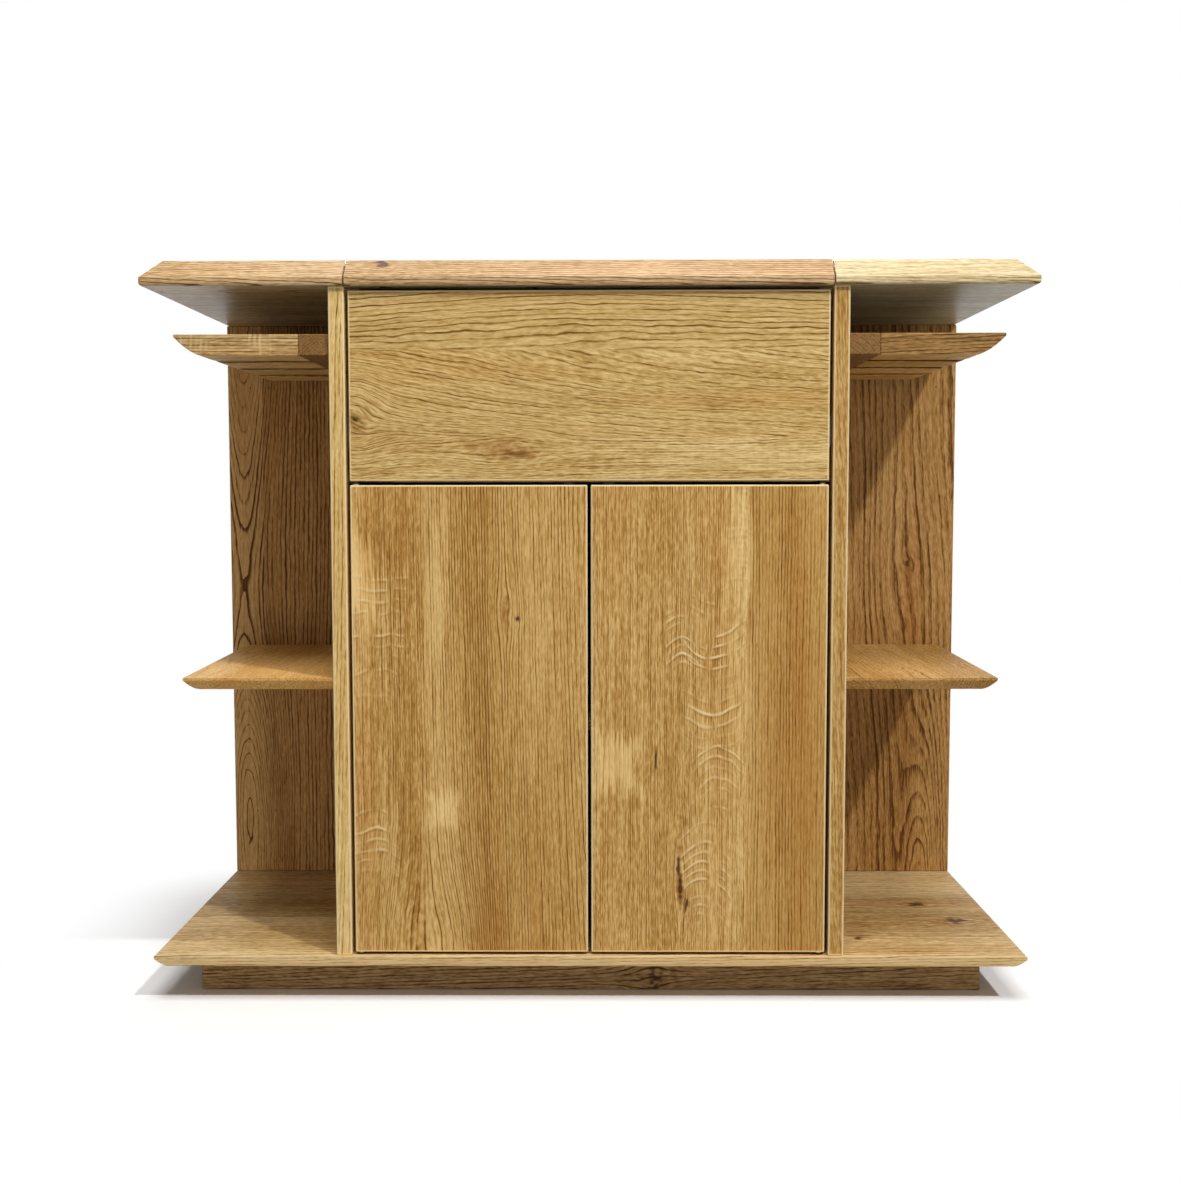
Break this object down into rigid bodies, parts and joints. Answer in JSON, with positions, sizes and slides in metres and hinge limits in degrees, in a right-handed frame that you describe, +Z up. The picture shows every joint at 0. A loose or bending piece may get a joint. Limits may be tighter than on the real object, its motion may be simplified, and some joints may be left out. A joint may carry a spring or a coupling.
{
  "type": "bar counter",
  "caption": "Free-standing oak bar counter with a lift-up lid, a wide drawer over inset doors, and open side bays with shelves and hanging stemware racks.",
  "frame": {"origin": "on the floor, under the middle of the counter's outline", "axes": "+X to the right along the counter's length, seen from its working side; +Y from the working side to the back panel; +Z up"},
  "size_m": [1.3, 0.5, 1.1],
  "materials": {
    "oak_top": "oiled oak, satin, grain along the counter",
    "oak_drawer": "oiled oak, satin, grain across the front",
    "oak_door": "oiled oak, satin, upright grain with ray flecks",
    "oak_side": "oiled oak, satin, upright grain",
    "oak_back": "oiled oak, satin, upright edge-glued boards",
    "oak_base": "oiled oak, satin, grain along the counter, with knots",
    "oak_shelf": "oiled oak, satin, grain from front to back",
    "oak_rack": "oiled oak, satin",
    "oak_plinth": "oiled oak, darker, grain along the counter",
    "oak_inside": "oiled oak, plain inside boards",
    "plywood": "lacquered plywood",
    "steel": "zinc-plated, satin",
    "brass": "satin",
    "grey_plastic": "moulded, matt"
  },
  "bodies": {
    "carcass": {"plinth_front": "oak_plinth", "plinth_rear": "oak_plinth", "plinth_left": "oak_plinth", "plinth_right": "oak_plinth", "base_board": "oak_base", "side_panel_left": "oak_side", "side_panel_right": "oak_side", "back_panel": "oak_back", "top_left": "oak_top", "top_right": "oak_top", "lid_rest_left": "oak_inside", "lid_rest_right": "oak_inside", "lid_hinge_fixed_leaf_left": "brass", "lid_hinge_fixed_leaf_right": "brass", "bay_shelf_left": "oak_shelf", "bay_shelf_right": "oak_shelf", "rack_spine_left": "oak_rack", "rack_rail_left_1": "oak_rack", "rack_rail_left_2": "oak_rack", "rack_rail_left_3": "oak_rack", "rack_rail_left_4": "oak_rack", "rack_spine_right": "oak_rack", "rack_rail_right_1": "oak_rack", "rack_rail_right_2": "oak_rack", "rack_rail_right_3": "oak_rack", "rack_rail_right_4": "oak_rack", "divider": "oak_inside", "inner_shelf": "oak_inside", "shelf_pin_left_front": "steel", "shelf_pin_left_rear": "steel", "shelf_pin_right_front": "steel", "shelf_pin_right_rear": "steel", "runner_outer_left": "steel", "runner_outer_right": "steel", "door_pivot_left_lower": "steel", "door_pivot_left_upper": "steel", "door_pivot_right_lower": "steel", "door_pivot_right_upper": "steel", "latch_body_left": "grey_plastic", "latch_body_right": "grey_plastic"},
    "lid": {"lid": "oak_top", "lid_hinge_moving_leaf_left": "brass", "lid_hinge_moving_leaf_right": "brass"},
    "drawer": {"drawer_front": "oak_drawer", "drawer_side_left": "oak_inside", "drawer_side_right": "oak_inside", "drawer_back": "oak_inside", "drawer_bottom": "plywood", "runner_inner_left": "steel", "runner_inner_right": "steel"},
    "runner_middles": {"runner_middle_left": "steel", "runner_middle_right": "steel"},
    "door_left": {"door_left": "oak_door", "door_bush_left_lower": "brass", "door_bush_left_upper": "brass"},
    "door_right": {"door_right": "oak_door", "door_bush_right_lower": "brass", "door_bush_right_upper": "brass"},
    "latch_plunger_left": {"latch_plunger_left": "grey_plastic"},
    "latch_plunger_right": {"latch_plunger_right": "grey_plastic"}
  },
  "joints": [
    {"name": "lid_lift", "type": "hinge", "parent": "carcass", "child": "lid", "pos_m": [0, 0.245, 1.06], "axis": [-1, 0, 0], "range_deg": [0, 95]},
    {"name": "drawer_slide", "type": "slide", "parent": "carcass", "child": "drawer", "axis": [0, -1, 0], "range_m": [0, 0.36]},
    {"name": "runner_slide", "type": "slide", "parent": "carcass", "child": "runner_middles", "axis": [0, -1, 0], "range_m": [0, 0.18]},
    {"name": "door_left_swing", "type": "hinge", "parent": "carcass", "child": "door_left", "pos_m": [-0.342, -0.232, 0.0764], "axis": [0, 0, -1], "range_deg": [0, 100]},
    {"name": "door_right_swing", "type": "hinge", "parent": "carcass", "child": "door_right", "pos_m": [0.342, -0.232, 0.0764], "axis": [0, 0, 1], "range_deg": [0, 100]},
    {"name": "latch_left_slide", "type": "slide", "parent": "carcass", "child": "latch_plunger_left", "axis": [0, -1, 0], "range_m": [0, 0.014]},
    {"name": "latch_right_slide", "type": "slide", "parent": "carcass", "child": "latch_plunger_right", "axis": [0, -1, 0], "range_m": [0, 0.014]}
  ],
  "couplings": [
    {"joint": "runner_slide", "follows": "drawer_slide", "ratio": 0.5},
    {"joint": "latch_left_slide", "follows": "door_left_swing", "m_per_rad": 0.008},
    {"joint": "latch_right_slide", "follows": "door_right_swing", "m_per_rad": 0.008}
  ]
}
